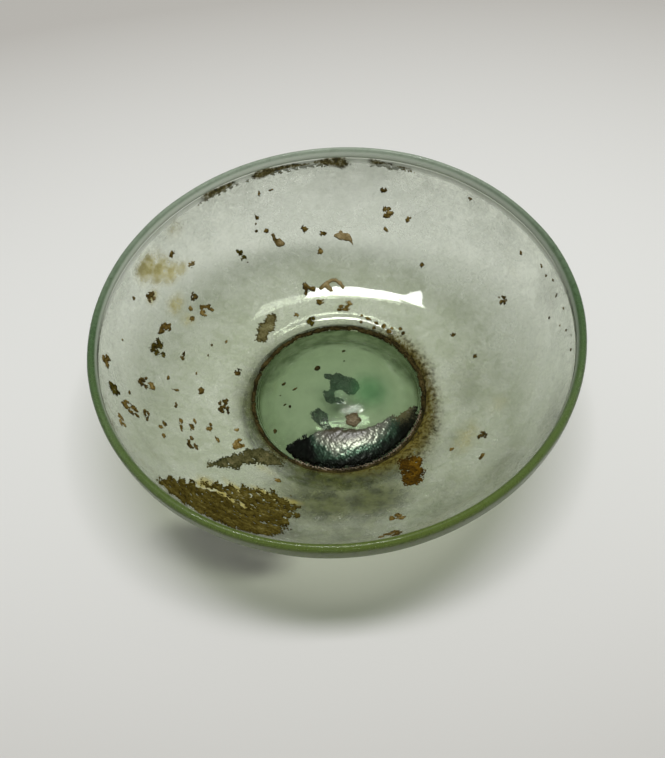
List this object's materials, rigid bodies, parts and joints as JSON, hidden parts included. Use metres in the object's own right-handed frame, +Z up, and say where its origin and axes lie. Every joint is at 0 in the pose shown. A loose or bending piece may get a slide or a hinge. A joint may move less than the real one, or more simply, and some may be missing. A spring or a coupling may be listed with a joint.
{
  "type": "glass bowl",
  "caption": "Blown pale green glass bowl with an outfolded collar rim, a hollow ring foot, a domed floor and patches of burial soil.",
  "frame": {"origin": "middle of the foot on the surface that the bowl stands on", "axes": "+Z up through the middle of the bowl, +X to the right and +Y away from the viewer in the picture; the lip rises slightly towards +X"},
  "size_m": [0.2, 0.2, 0.0671],
  "materials": {
    "wall_glass": "pale green blown glass, faintly hazed by weathering",
    "collar_glass": "greener glass, doubled by the fold",
    "foot_glass": "pale green glass tube, worn where it stands",
    "floor_glass": "green blown glass, glossy",
    "pontil_glass": "thick dark green glass, broken surface",
    "brown_soil": "dry brown earth, crumbly",
    "olive_soil": "thin olive brown earth, flaking",
    "groove_earth": "dark packed earth",
    "silver_crust": "silvery weathering crust, iridescent"
  },
  "bodies": {
    "root": {"bowl_wall": "wall_glass", "rim_collar": "collar_glass", "foot_ring": "foot_glass", "floor_dome": "floor_glass", "pontil_scar": "pontil_glass", "pontil_drop": "pontil_glass", "groove_soil": "groove_earth", "floor_crust": "silver_crust", "floor_spot": "brown_soil", "rim_soil_left": "olive_soil", "rim_soil_middle": "olive_soil", "rim_soil_right": "olive_soil", "soil_sheet_near_left": "olive_soil", "soil_streak_near_left": "brown_soil", "soil_patch_near_right": "brown_soil", "soil_patch_far_left": "brown_soil", "soil_fleck_far_1": "brown_soil", "soil_fleck_far_2": "brown_soil", "soil_fleck_far_3": "brown_soil", "soil_fleck_far_4": "brown_soil", "soil_fleck_middle_1": "brown_soil", "soil_fleck_middle_2": "brown_soil", "soil_fleck_middle_3": "brown_soil", "soil_fleck_middle_4": "brown_soil", "soil_fleck_left_1": "brown_soil", "soil_fleck_left_2": "brown_soil", "soil_fleck_left_3": "brown_soil", "soil_fleck_left_4": "brown_soil", "soil_fleck_left_5": "brown_soil", "soil_fleck_left_6": "brown_soil", "soil_fleck_left_7": "brown_soil", "soil_fleck_left_8": "brown_soil", "soil_fleck_left_9": "brown_soil", "soil_fleck_left_10": "brown_soil", "soil_fleck_left_11": "brown_soil", "soil_fleck_right_1": "brown_soil", "soil_fleck_right_2": "brown_soil", "soil_fleck_near_1": "brown_soil", "soil_fleck_near_2": "brown_soil"}
  },
  "joints": []
}
